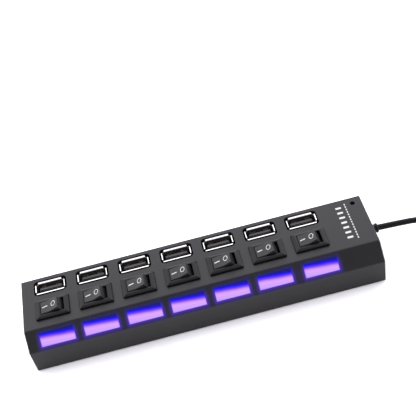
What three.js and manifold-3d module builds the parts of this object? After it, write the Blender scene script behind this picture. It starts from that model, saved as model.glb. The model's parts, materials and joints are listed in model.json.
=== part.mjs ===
// A seven-port desktop USB hub: a low housing with a sloping light strip along its front, and for
// every port a rocker switch, an upward-facing socket and a lit window. Its own lead is coiled beside it.
// Millimetres. +X runs along the housing towards the lead, -Y is the front, +Z is up.
import * as THREE from 'three';
import { mergeVertices } from 'three/addons/utils/BufferGeometryUtils.js';
import Module from 'manifold-3d';

const wasm = await Module();
wasm.setup();

// Housing
const LENGTH = 159.5;
const DEPTH = 36;
const TOP = 20;
const FOOT_HEIGHT = 0.6;
const CHAMFER = 7;
const WALL = 2;
const GAP = 0.3;
const FRONT = -DEPTH / 2;
const REAR = DEPTH / 2;
const RIGHT = LENGTH / 2;
const FRONT_TOP = FRONT + CHAMFER;
const CEILING = TOP - WALL;

// Port columns, through the middles of the switches; the sockets lie slightly off them
const PORTS = 7;
const PITCH = 19.5;
const MIDDLE_COLUMN = -7.6;
const COLUMNS = Array.from({ length: PORTS }, (_, i) => MIDDLE_COLUMN + (i - (PORTS - 1) / 2) * PITCH);
const SWITCH_Y = -1.5;
const SOCKET_Y = 11.4;
const SOCKET_SHIFT = -0.35;
const SOCKET_COLUMNS = COLUMNS.map((x) => x + SOCKET_SHIFT);
const LAST_WINDOW_SHIFT = 1.2;
const WINDOW_COLUMNS = COLUMNS.map((x, i) => (i === PORTS - 1 ? x + LAST_WINDOW_SHIFT : x));

// Base, screws and feet
const BASE_THICKNESS = 2.2;
const BASE_TOP = FOOT_HEIGHT + BASE_THICKNESS;
const BOSS_RADIUS = 2.1;
const SCREW_HOLE = 1.2;
const SCREW_SHANK = 0.9;
const SCREW_TIP = 9.5;
const SCREW_HOLE_END = 11;
const SCREW_HEAD = 2;
const SCREW_HEAD_HEIGHT = 0.9;
const SCREW_RECESS = 1.3;
const SCREW_SLOT = [2.4, 0.5];
const SCREW_PLACES = [
  [COLUMNS[0] + PITCH / 2, -12.8],
  [COLUMNS[0] + PITCH / 2, 12.8],
  [66.5, -12.8],
  [66.5, 12.8],
];
const FOOT_RADIUS = 4;
const FOOT_RECESS = 0.7;
const FOOT_EDGE = 0.4;
const FOOT_PLACES = [[-71, -10.5], [-71, 10.5], [73, -10.5], [73, 10.5]];

// Circuit board, its posts on the base, and the hub chip
const BOARD = [153, 30];
const BOARD_BOTTOM = 5.1;
const BOARD_THICKNESS = 1.2;
const BOARD_TOP = BOARD_BOTTOM + BOARD_THICKNESS;
const ON_BOARD = BOARD_TOP + GAP;
const POST_RADIUS = 1.8;
const POST_COLUMNS = [-71, MIDDLE_COLUMN + PITCH / 2, 73];
const POST_Y = 6;
const CHIP_PLACE = [68, -2];
const CHIP = [9, 9];
const CHIP_HEIGHT = 1.45;

// Sockets, mouth upwards
const MOUTH = [12.5, 5.12];
const SOCKET_WALL = 0.35;
const LIP_REACHES = [1, 0.55];
const LIP_RISE = 0.75;
const LIP_THICKNESS = 0.2;
const LIP_SPLAY = 0.1;
const LIP_ROOT = 0.15;
const LIP_LENGTHS = [11, 4.2, 12.8, 4.2];
const LIP_TOP = TOP + 0.3;
const SOCKET_CUTOUT = [15, 8.6];
const CUTOUT_Y = SOCKET_Y + 0.25;
const CUTOUT_RADIUS = 1.8;
const TONGUE = [10.4, 1.84];
const TONGUE_OFFSET = 0.95;
const TONGUE_TOP = LIP_TOP - 1.9;
const TONGUE_TIP = 0.5;
const INSULATOR_TOP = 11;

// Rocker switches
const BEZEL = [14.8, 10.5];
const BEZEL_POCKET = [15.5, 10.9];
const POCKET_DEPTH = 0.4;
const BEZEL_SEAT = TOP - POCKET_DEPTH + 0.15;
const BEZEL_SHOULDER = TOP + 0.9;
const BEZEL_TOP = TOP + 1.5;
const BEZEL_SLOPE = [1.4, 1.05];
const SWITCH_BODY = [13.2, 8.8];
const SWITCH_BODY_BOTTOM = TOP - 10.2;
const SWITCH_CLIP = [1.1, 4];
const SWITCH_CLIP_X = 6.9;
const SWITCH_CLIP_BOTTOM = 15.2;
const SWITCH_TAG = [0.8, 2.8];
const SWITCH_TAG_X = 3.2;
const ROCKER_OPENING = [10.65, 7.05];
const ROCKER_OPENING_DEPTH = 7;
const PIVOT_Z = BEZEL_TOP - 3.4;
const PIVOT_RADIUS = 0.8;

// Rocker, heights measured from its pin
const ROCKER_WIDTH = 6.45;
const ROCKER_TILT = THREE.MathUtils.degToRad(15);
const ROCKER_TIP = [4, 4.7];
const ROCKER_VALLEY = 4.05;
const ROCKER_SWING = 5.05;
const ROCKER_SWING_ANGLES = [-14, 0, 12.5, 25];

// Lit windows in the sloping front
const WINDOW = [15.1, 6.1];
const WINDOW_THICKNESS = 1.5;
const WINDOW_GAP = 0.12;
const WINDOW_CENTRE = 0.515;

// Lights on the board
const PORT_LED_Y = -12.4;
const PORT_LED_RADIUS = 1.5;
const PORT_LED_FLANGE = 1.9;
const PORT_LED_TOP = 10.2;
const POWER_LED = [75.3, 14.2];
const POWER_LED_RADIUS = 1.2;
const POWER_LED_BOTTOM = 14;
const POWER_LED_LEGS = [1.8, 0.5];
const POWER_HOLE = 1.15;

// Lead
const CORD_RADIUS = 1.4;
const CORD_EXIT_Y = 3.1;
const CORD_EXIT_Z = 12;
const GLAND_HOLE = 1.95;
const GLAND_NECK = 1.65;
const GLAND_FLANGE = 3.4;
const GLAND_COLLAR = 1.95;
const GLAND_RIM = 2.25;
const GLAND_START = 75.6;
const GLAND_END = 83.2;
const COIL_CENTRE = [139, 0];
const COIL_RADIUS = 16;
const COIL_FLOOR = 0.03;

// Plug on the lead's end, its grip and its plated shell pointing along +X
const PLUG_START = [165.5, -9.5];
const PLUG_Z = 4;
const GRIP_HEIGHT = 7.8;
const GRIP_BEVEL = 1;
const GRIP_OUTLINE = [[6, 3.4], [10, 6.6], [25, 6.6]];
const NECK_LENGTH = 7;
const NECK_RADII = [2, 2.6];
const PLUG_SHELL = [12, 12, 4.5];
const PLUG_SHELL_WALL = 0.3;
const PLUG_SHELL_FLOOR = 2.5;
const PLUG_INSERT_LENGTH = 9.2;
const PLUG_WINDOW = [2.2, 2.4];
const PLUG_WINDOW_PLACE = [6.5, 3.1];

const MATERIALS = {
  housing: { color: 0x2c2c2e, roughness: 0.55, metalness: 0 },
  base: { color: 0x262628, roughness: 0.7, metalness: 0 },
  rubber: { color: 0x1a1a1b, roughness: 0.9, metalness: 0 },
  screw: { color: 0xa8a9ac, roughness: 0.35, metalness: 1 },
  board: { color: 0x1f5a34, roughness: 0.5, metalness: 0 },
  plated: { color: 0xd8d9dc, roughness: 0.25, metalness: 1 },
  insulator: { color: 0x595959, roughness: 0.6, metalness: 0 },
  bezel: { color: 0x333335, roughness: 0.45, metalness: 0 },
  rocker: { color: 0x3a3a3b, roughness: 0.5, metalness: 0 },
  window: { color: 0xc08cff, roughness: 0.35, metalness: 0 },
  lens: { color: 0xdfe6ff, roughness: 0.2, metalness: 0 },
  chip: { color: 0x18181a, roughness: 0.6, metalness: 0 },
  cord: { color: 0x18181a, roughness: 0.6, metalness: 0 },
};

// Geometry helpers

function solid(geometry) {
  const bare = geometry.clone();
  bare.deleteAttribute('normal');
  bare.deleteAttribute('uv');
  const merged = mergeVertices(bare, 1e-4);
  return new wasm.Manifold(new wasm.Mesh({
    numProp: 3,
    vertProperties: new Float32Array(merged.attributes.position.array),
    triVerts: new Uint32Array(merged.index.array),
  }));
}

function surface(body) {
  const mesh = body.getMesh();
  const geometry = new THREE.BufferGeometry();
  geometry.setAttribute('position', new THREE.BufferAttribute(mesh.vertProperties, 3));
  geometry.setIndex(new THREE.BufferAttribute(mesh.triVerts, 1));
  geometry.computeVertexNormals();
  return geometry;
}

function box(from, to) {
  const size = to.map((value, axis) => value - from[axis]);
  const geometry = new THREE.BoxGeometry(...size);
  geometry.translate(...from.map((value, axis) => value + size[axis] / 2));
  return geometry;
}

function block(x, y, [width, depth], bottom, top) {
  return box([x - width / 2, y - depth / 2, bottom], [x + width / 2, y + depth / 2, top]);
}

function roundedBlock(x, y, [width, depth], radius, bottom, top) {
  const shape = new THREE.Shape();
  const [right, back] = [width / 2 - radius, depth / 2 - radius];
  const corners = [[right, back], [-right, back], [-right, -back], [right, -back]];
  corners.forEach(([cornerX, cornerY], turn) => {
    shape.absarc(cornerX, cornerY, radius, turn * Math.PI / 2, (turn + 1) * Math.PI / 2);
  });
  const settings = { depth: top - bottom, bevelEnabled: false, curveSegments: 5 };
  const geometry = new THREE.ExtrudeGeometry(shape, settings);
  geometry.translate(x, y, bottom);
  return geometry;
}

function post(x, y, radius, bottom, top, sides = 20) {
  const geometry = new THREE.CylinderGeometry(radius, radius, top - bottom, sides);
  geometry.rotateX(Math.PI / 2);
  geometry.translate(x, y, (top + bottom) / 2);
  return geometry;
}

// Turns a profile of (radius, height) points about the Y axis.
function turned(profile, sides) {
  return new THREE.LatheGeometry(profile.map(([radius, height]) => new THREE.Vector2(radius, height)), sides);
}

function outline(points) {
  return new THREE.Shape(points.map(([a, b]) => new THREE.Vector2(a, b)));
}

// Extrudes a section drawn in (y, z) along X, from one x to another.
function alongX(points, from, to) {
  const geometry = new THREE.ExtrudeGeometry(outline(points), { depth: to - from, bevelEnabled: false });
  geometry.rotateX(Math.PI / 2);
  geometry.rotateZ(Math.PI / 2);
  geometry.translate(from, 0, 0);
  return geometry;
}

// Extrudes a section drawn in (x, z) along Y, from one y to another.
function alongY(points, from, to) {
  const geometry = new THREE.ExtrudeGeometry(outline(points), { depth: to - from, bevelEnabled: false });
  geometry.rotateX(Math.PI / 2);
  geometry.translate(0, to, 0);
  return geometry;
}

function join(...geometries) {
  return geometries.map(solid).reduce((sum, next) => sum.add(next));
}

function cut(body, ...geometries) {
  return geometries.map(solid).reduce((rest, next) => rest.subtract(next), body);
}

function part(name, geometry, finish) {
  const mesh = new THREE.Mesh(geometry, new THREE.MeshStandardMaterial(MATERIALS[finish]));
  mesh.name = name;
  return mesh;
}

// Housing pieces

function housingSection(inset, bottom) {
  const cornerShift = inset * Math.tan(Math.PI / 8);
  return [
    [FRONT + inset, bottom],
    [REAR - inset, bottom],
    [REAR - inset, TOP - inset],
    [FRONT_TOP + cornerShift, TOP - inset],
    [FRONT + inset, TOP - CHAMFER - cornerShift],
  ];
}

// Places a shape made flat in XY, facing +Z, on the sloping front of a column.
function ontoSlope(geometry, x) {
  geometry.rotateX(Math.PI / 4);
  geometry.translate(x, FRONT_TOP - CHAMFER * WINDOW_CENTRE, TOP - CHAMFER * WINDOW_CENTRE);
  return geometry;
}

function windowSlab(x, [width, height], from, to) {
  return ontoSlope(box([-width / 2, -height / 2, from], [width / 2, height / 2, to]), x);
}

function topShell() {
  let shell = solid(alongX(housingSection(0, FOOT_HEIGHT), -RIGHT, RIGHT));
  shell = cut(shell, alongX(housingSection(WALL, FOOT_HEIGHT - 1), WALL - RIGHT, RIGHT - WALL));
  const hollow = solid(alongX(housingSection(WALL / 2, FOOT_HEIGHT), -RIGHT + 1, RIGHT - 1));
  for (const [x, y] of SCREW_PLACES) {
    shell = shell.add(solid(post(x, y, BOSS_RADIUS, BASE_TOP + GAP, TOP - 1)).intersect(hollow));
    shell = cut(shell, post(x, y, SCREW_HOLE, 0, SCREW_HOLE_END, 12));
  }
  const switchHole = SWITCH_BODY.map((side) => side + 2 * GAP);
  const windowHole = WINDOW.map((side) => side + 2 * WINDOW_GAP);
  COLUMNS.forEach((x, i) => {
    shell = cut(
      shell,
      block(x, SWITCH_Y, switchHole, CEILING - 1, TOP + 1),
      block(x, SWITCH_Y, BEZEL_POCKET, TOP - POCKET_DEPTH, TOP + 1),
      roundedBlock(SOCKET_COLUMNS[i], CUTOUT_Y, SOCKET_CUTOUT, CUTOUT_RADIUS, CEILING - 1, TOP + 1),
      windowSlab(WINDOW_COLUMNS[i], windowHole, -WALL - 1, 1),
    );
  });
  const glandHole = new THREE.CylinderGeometry(GLAND_HOLE, GLAND_HOLE, 4 * WALL, 20);
  glandHole.rotateZ(Math.PI / 2);
  glandHole.translate(RIGHT, CORD_EXIT_Y, CORD_EXIT_Z);
  shell = cut(shell, post(...POWER_LED, POWER_HOLE, CEILING - 1, TOP + 1, 16), glandHole);
  return surface(shell);
}

function baseCover() {
  const side = RIGHT - WALL - GAP;
  const back = REAR - WALL - GAP;
  let base = solid(box([-side, -back, FOOT_HEIGHT], [side, back, BASE_TOP]));
  for (const [x, y] of SCREW_PLACES) {
    base = cut(base, post(x, y, SCREW_HOLE, 0, BASE_TOP + 1, 12));
    base = cut(base, post(x, y, SCREW_HEAD + GAP, 0, FOOT_HEIGHT + SCREW_RECESS));
  }
  for (const [x, y] of FOOT_PLACES) {
    base = cut(base, post(x, y, FOOT_RADIUS + GAP, 0, FOOT_HEIGHT + FOOT_RECESS, 24));
  }
  for (const x of POST_COLUMNS) {
    for (const y of [-POST_Y, POST_Y]) {
      base = base.add(solid(post(x, y, POST_RADIUS, BASE_TOP - 0.5, BOARD_BOTTOM - GAP, 12)));
    }
  }
  return surface(base);
}

function baseScrew(x, y) {
  const headBottom = FOOT_HEIGHT + 0.1;
  const headTop = headBottom + SCREW_HEAD_HEIGHT;
  const screw = join(
    post(x, y, SCREW_HEAD, headBottom, headTop, 18),
    post(x, y, SCREW_SHANK, headTop - 0.2, SCREW_TIP, 10),
  );
  const [length, width] = SCREW_SLOT;
  const slots = [[length, width], [width, length]].map((size) => block(x, y, size, 0, headBottom + 0.5));
  return surface(cut(screw, ...slots));
}

function rubberFoot(x, y) {
  const top = FOOT_HEIGHT + FOOT_RECESS - GAP;
  const foot = turned(
    [[0, 0], [FOOT_RADIUS - FOOT_EDGE, 0], [FOOT_RADIUS, FOOT_EDGE], [FOOT_RADIUS, top], [0, top]],
    24,
  );
  foot.rotateX(Math.PI / 2);
  foot.translate(x, y, 0);
  return surface(solid(foot));
}

function circuitBoard() {
  let board = solid(block(0, 0, BOARD, BOARD_BOTTOM, BOARD_TOP));
  for (const [x, y] of SCREW_PLACES) {
    board = cut(board, post(x, y, BOSS_RADIUS + 0.5, 0, TOP, 16));
  }
  for (const x of COLUMNS) {
    for (const side of [-1, 1]) {
      const slot = SWITCH_TAG.map((length) => length + 2 * GAP);
      board = cut(board, block(x + side * SWITCH_TAG_X, SWITCH_Y, slot, 0, TOP));
    }
  }
  return surface(board);
}

// Socket pieces

// One flared lip: a bent strip that leans outwards from the mouth's edge, made at the +Y side.
function lip(length, edge, reach) {
  const start = LIP_TOP - LIP_RISE;
  const section = [
    [edge, start],
    [edge + SOCKET_WALL, start],
    [edge + reach + LIP_SPLAY, LIP_TOP - LIP_THICKNESS],
    [edge + reach - LIP_SPLAY, LIP_TOP],
  ];
  return alongX(section, -length / 2, length / 2);
}

function socketShell(x) {
  const outer = MOUTH.map((side) => side + 2 * SOCKET_WALL);
  const rim = LIP_TOP - LIP_RISE + LIP_ROOT;
  let shell = cut(solid(block(0, 0, outer, ON_BOARD, rim)), block(0, 0, MOUTH, BOARD_TOP, TOP + 1));
  for (const turn of [0, 1, 2, 3]) {
    const flap = lip(LIP_LENGTHS[turn], MOUTH[(turn + 1) % 2] / 2, LIP_REACHES[turn % 2]);
    flap.rotateZ(turn * Math.PI / 2);
    shell = shell.add(solid(flap));
  }
  return surface(shell.translate([x, SOCKET_Y, 0]));
}

function socketTongue(x) {
  const inside = MOUTH.map((side) => side - 2 * GAP);
  const tip = TONGUE.map((side) => side - TONGUE_TIP);
  const tongueY = SOCKET_Y + TONGUE_OFFSET;
  return surface(join(
    block(x, SOCKET_Y, inside, ON_BOARD, INSULATOR_TOP),
    block(x, tongueY, TONGUE, INSULATOR_TOP - 1, TONGUE_TOP - TONGUE_TIP),
    block(x, tongueY, tip, TONGUE_TOP - 1, TONGUE_TOP),
  ));
}

// Switch pieces

// A block whose upper face is drawn in by one inset along X and another along Y.
function taper(geometry, [insetX, insetY]) {
  const position = geometry.attributes.position;
  geometry.computeBoundingBox();
  const { min, max } = geometry.boundingBox;
  for (let i = 0; i < position.count; i += 1) {
    if (position.getZ(i) > (min.z + max.z) / 2) {
      position.setX(i, position.getX(i) + (position.getX(i) > (min.x + max.x) / 2 ? -insetX : insetX));
      position.setY(i, position.getY(i) + (position.getY(i) > (min.y + max.y) / 2 ? -insetY : insetY));
    }
  }
  return geometry;
}

function switchBody(x) {
  const beside = (offset, size, bottom, top) => [-1, 1].map((side) => {
    return block(x + side * offset, SWITCH_Y, size, bottom, top);
  });
  const pivotHole = new THREE.CylinderGeometry(PIVOT_RADIUS + GAP, PIVOT_RADIUS + GAP, 20, 16);
  pivotHole.translate(x, SWITCH_Y, PIVOT_Z);
  const body = join(
    block(x, SWITCH_Y, BEZEL, BEZEL_SEAT, BEZEL_SHOULDER),
    taper(block(x, SWITCH_Y, BEZEL, BEZEL_SHOULDER - 0.001, BEZEL_TOP), BEZEL_SLOPE),
    block(x, SWITCH_Y, SWITCH_BODY, SWITCH_BODY_BOTTOM, BEZEL_SEAT + 0.2),
    ...beside(SWITCH_CLIP_X, SWITCH_CLIP, SWITCH_CLIP_BOTTOM, CEILING - GAP),
    ...beside(SWITCH_TAG_X, SWITCH_TAG, BOARD_BOTTOM - 0.6, SWITCH_BODY_BOTTOM + 1),
  );
  const opening = block(x, SWITCH_Y, ROCKER_OPENING, BEZEL_TOP - ROCKER_OPENING_DEPTH, BEZEL_TOP + 1);
  return surface(cut(body, opening, pivotHole));
}

// The rocker's section: a shallow V on top, and ends that follow the arc they swing along.
function rockerSection() {
  const swing = ROCKER_SWING_ANGLES.map((degrees) => {
    const angle = THREE.MathUtils.degToRad(degrees);
    return [ROCKER_SWING * Math.cos(angle), ROCKER_SWING * Math.sin(angle)];
  });
  const right = [...swing, ROCKER_TIP];
  const left = right.map(([x, z]) => [-x, z]).reverse();
  return [...right, [0, ROCKER_VALLEY], ...left];
}

// At rest the rocker lies pressed on its left end, which is on.
function rocker() {
  const pin = new THREE.CylinderGeometry(PIVOT_RADIUS, PIVOT_RADIUS, SWITCH_BODY[1] - 0.4, 12);
  const body = join(alongY(rockerSection(), -ROCKER_WIDTH / 2, ROCKER_WIDTH / 2), pin);
  return surface(body).rotateY(-ROCKER_TILT);
}

// Lights

function portLed(x) {
  const dome = new THREE.SphereGeometry(PORT_LED_RADIUS, 12, 6);
  dome.rotateX(Math.PI / 2);
  dome.translate(x, PORT_LED_Y, PORT_LED_TOP);
  return surface(join(
    post(x, PORT_LED_Y, PORT_LED_FLANGE, ON_BOARD, ON_BOARD + 1, 12),
    post(x, PORT_LED_Y, PORT_LED_RADIUS, ON_BOARD + 0.5, PORT_LED_TOP, 12),
    dome,
  ));
}

function powerLed() {
  const [x, y] = POWER_LED;
  return surface(join(
    post(x, y, POWER_LED_RADIUS, POWER_LED_BOTTOM, CEILING - GAP, 14),
    block(x, y, POWER_LED_LEGS, ON_BOARD, POWER_LED_BOTTOM + 0.5),
  ));
}

// Lead

function cableGland() {
  const inside = RIGHT - WALL - GAP;
  const outside = RIGHT + GAP / 2;
  const gland = turned([
    [0, GLAND_START],
    [GLAND_NECK, GLAND_START],
    [GLAND_NECK, GLAND_START + 0.6],
    [GLAND_FLANGE, GLAND_START + 0.6],
    [GLAND_FLANGE, inside],
    [GLAND_NECK, inside],
    [GLAND_NECK, outside],
    [GLAND_COLLAR, outside],
    [GLAND_COLLAR, GLAND_END - 1],
    [GLAND_RIM, GLAND_END - 0.8],
    [GLAND_RIM, GLAND_END - 0.2],
    [GLAND_RIM - 0.2, GLAND_END],
    [0, GLAND_END],
  ], 20);
  gland.rotateZ(-Math.PI / 2);
  gland.translate(0, CORD_EXIT_Y, CORD_EXIT_Z);
  return surface(solid(gland));
}

// A tube with eight sides along a route.
function tube(route, radius, steps) {
  const reach = radius / Math.cos(Math.PI / 8);
  const corners = Array.from({ length: 8 }, (_, i) => {
    const angle = (i + 0.5) * Math.PI / 4;
    return [reach * Math.cos(angle), reach * Math.sin(angle)];
  });
  const path = new THREE.CatmullRomCurve3(route.map((point) => new THREE.Vector3(...point)));
  return new THREE.ExtrudeGeometry(outline(corners), { steps, bevelEnabled: false, extrudePath: path });
}

const LEAD_ROUTE = [
  [83.5, CORD_EXIT_Y, CORD_EXIT_Z],
  [88, CORD_EXIT_Y, 11.7],
  [92, CORD_EXIT_Y, 11.4],
  [96, 3.08, 11.08],
  [100, 3, 10.7],
  [103.8, 2.6, 10.1],
  [107.3, 1.6, 8.8],
  [110.5, -0.2, 6.8],
  [113.4, -2.5, 4.6],
  [116, -4.9, 2.8],
  [118.5, -7.3, 1.85],
];

// From the coil's upper layer to the plug.
const TAIL_ROUTE = [
  [143.5, -16.8, 4.2],
  [146, -16.1, 4.35],
  [148.5, -15.2, 4.35],
  [151.5, -14, 4.2],
  [154.5, -12.6, 4],
  [157.5, -11.2, 4],
  [161, -9.9, 4],
  [165.2, -9.5, 4],
];

function coil() {
  const lower = 3 * CORD_RADIUS;
  const upper = 2 * CORD_RADIUS;
  const ring = turned([
    [COIL_RADIUS - lower, COIL_FLOOR],
    [COIL_RADIUS + lower, COIL_FLOOR],
    [COIL_RADIUS + lower, 2 * CORD_RADIUS],
    [COIL_RADIUS + upper, 4 * CORD_RADIUS],
    [COIL_RADIUS - upper, 4 * CORD_RADIUS],
    [COIL_RADIUS - lower, 2 * CORD_RADIUS],
    [COIL_RADIUS - lower, COIL_FLOOR],
  ], 40);
  ring.rotateX(Math.PI / 2);
  ring.translate(...COIL_CENTRE, 0);
  return surface(join(ring, tube(TAIL_ROUTE, CORD_RADIUS, 10)));
}

function plugBody() {
  const [x, y] = PLUG_START;
  const mirrored = GRIP_OUTLINE.map(([along, side]) => [along, -side]).reverse();
  const grip = new THREE.ExtrudeGeometry(outline([...GRIP_OUTLINE, ...mirrored]), {
    depth: GRIP_HEIGHT - 2 * GRIP_BEVEL,
    bevelThickness: GRIP_BEVEL,
    bevelSize: GRIP_BEVEL,
    bevelSegments: 1,
  });
  grip.translate(x, y, PLUG_Z - GRIP_HEIGHT / 2 + GRIP_BEVEL);
  const [start, end] = NECK_RADII;
  const neck = new THREE.CylinderGeometry(end, start, NECK_LENGTH, 16);
  neck.rotateZ(-Math.PI / 2);
  neck.translate(x + NECK_LENGTH / 2, y, PLUG_Z);
  return surface(join(grip, neck));
}

function plugShell() {
  const [length, width, height] = PLUG_SHELL;
  const gripEnd = GRIP_OUTLINE[GRIP_OUTLINE.length - 1][0] + GRIP_BEVEL;
  const x = PLUG_START[0] + gripEnd + GAP;
  const y = PLUG_START[1];
  const [bottom, top] = [PLUG_Z - height / 2, PLUG_Z + height / 2];
  const inner = [width - 2 * PLUG_SHELL_WALL, PLUG_SHELL_WALL];
  const outside = box([x, y - width / 2, bottom], [x + length, y + width / 2, top]);
  const mouth = box(
    [x + PLUG_SHELL_FLOOR, y - inner[0] / 2, bottom + inner[1]],
    [x + length + 1, y + inner[0] / 2, top - inner[1]],
  );
  const insert = box(
    [x + PLUG_SHELL_FLOOR - 0.5, y - inner[0] / 2 + 0.01, bottom + inner[1] + 0.01],
    [x + PLUG_SHELL_FLOOR - 0.5 + PLUG_INSERT_LENGTH, y + inner[0] / 2 - 0.01, PLUG_Z],
  );
  const [along, across] = PLUG_WINDOW_PLACE;
  const windows = [-1, 1].map((side) => block(x + along, y + side * across, PLUG_WINDOW, 0, 2 * PLUG_Z));
  return surface(cut(solid(outside), mouth, ...windows).add(solid(insert)));
}

// Assembly

const hub = new THREE.Group();
hub.add(part('top_shell', topShell(), 'housing'));
hub.add(part('base_cover', baseCover(), 'base'));
SCREW_PLACES.forEach(([x, y], i) => hub.add(part(`base_screw_${i + 1}`, baseScrew(x, y), 'screw')));
FOOT_PLACES.forEach(([x, y], i) => hub.add(part(`rubber_foot_${i + 1}`, rubberFoot(x, y), 'rubber')));
hub.add(part('circuit_board', circuitBoard(), 'board'));
const chipBottom = BOARD_TOP + GAP / 2;
hub.add(part('hub_chip', block(...CHIP_PLACE, CHIP, chipBottom, chipBottom + CHIP_HEIGHT), 'chip'));
COLUMNS.forEach((x, i) => {
  hub.add(part(`socket_shell_${i + 1}`, socketShell(SOCKET_COLUMNS[i]), 'plated'));
  hub.add(part(`socket_tongue_${i + 1}`, socketTongue(SOCKET_COLUMNS[i]), 'insulator'));
  hub.add(part(`switch_body_${i + 1}`, switchBody(x), 'bezel'));
  const paddle = part(`rocker_${i + 1}`, rocker(), 'rocker');
  paddle.position.set(x, SWITCH_Y, PIVOT_Z);
  hub.add(paddle);
  hub.add(part(`light_window_${i + 1}`, windowSlab(WINDOW_COLUMNS[i], WINDOW, -WINDOW_THICKNESS, 0), 'window'));
  hub.add(part(`port_led_${i + 1}`, portLed(x), 'lens'));
});
hub.add(part('power_led', powerLed(), 'lens'));
hub.add(part('cable_gland', cableGland(), 'cord'));
hub.add(part('cable_lead', tube(LEAD_ROUTE, CORD_RADIUS, 18), 'cord'));
hub.add(part('cable_coil', coil(), 'cord'));
hub.add(part('plug_body', plugBody(), 'cord'));
hub.add(part('plug_shell', plugShell(), 'plated'));

export default hub;
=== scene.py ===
# Looks for a desktop USB hub with seven switched ports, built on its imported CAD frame.
# Metres, +Z up, -Y the front.
import json
import math

import bmesh
import bpy
from mathutils import Matrix, Vector


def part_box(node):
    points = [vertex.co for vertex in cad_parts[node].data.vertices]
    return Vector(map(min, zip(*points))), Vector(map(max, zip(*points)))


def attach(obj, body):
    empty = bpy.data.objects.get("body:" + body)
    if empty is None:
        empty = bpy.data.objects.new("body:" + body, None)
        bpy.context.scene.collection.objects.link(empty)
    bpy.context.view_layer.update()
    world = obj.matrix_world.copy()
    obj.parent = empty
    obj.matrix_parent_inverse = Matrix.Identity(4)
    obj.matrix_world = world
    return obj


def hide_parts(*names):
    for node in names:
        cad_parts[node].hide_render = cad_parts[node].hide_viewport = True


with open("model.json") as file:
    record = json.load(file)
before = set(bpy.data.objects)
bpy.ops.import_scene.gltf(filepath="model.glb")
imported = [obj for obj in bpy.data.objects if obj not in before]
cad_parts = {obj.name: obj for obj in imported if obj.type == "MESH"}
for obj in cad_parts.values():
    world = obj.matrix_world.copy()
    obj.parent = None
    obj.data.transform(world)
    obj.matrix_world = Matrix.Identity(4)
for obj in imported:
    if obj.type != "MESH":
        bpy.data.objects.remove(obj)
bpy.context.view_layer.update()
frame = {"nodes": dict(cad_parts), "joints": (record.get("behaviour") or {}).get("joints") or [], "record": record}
MM = 0.001

PORTS = range(1, 8)
HINGES = {joint["child"]: joint for joint in frame["joints"]}
SLOTS = {entry["node"]: entry["material_slot"] for entry in frame["record"]["subparts"]}

# Camera, from the middle of the hub's footprint
CAMERA_PLACE = (0.00223, -0.26037, 0.31625)
CAMERA_AZIMUTH = 1.789
CAMERA_ELEVATION = 45.137
CAMERA_ROLL = -13.216
CAMERA_LENS = 77.0


def make_camera():
    data = bpy.data.cameras.new("camera")
    data.lens = CAMERA_LENS
    data.sensor_width = 36
    data.clip_start = 0.01
    data.clip_end = 20
    camera = bpy.data.objects.new("camera", data)
    bpy.context.scene.collection.objects.link(camera)
    turn = Matrix.Rotation(math.radians(-CAMERA_AZIMUTH), 4, "Z")
    tilt = Matrix.Rotation(math.radians(90 - CAMERA_ELEVATION), 4, "X")
    roll = Matrix.Rotation(math.radians(CAMERA_ROLL), 4, "Z")
    camera.matrix_world = Matrix.Translation(CAMERA_PLACE) @ turn @ tilt @ roll
    bpy.context.scene.camera = camera


make_camera()


# Materials: all colours are linear


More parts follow.
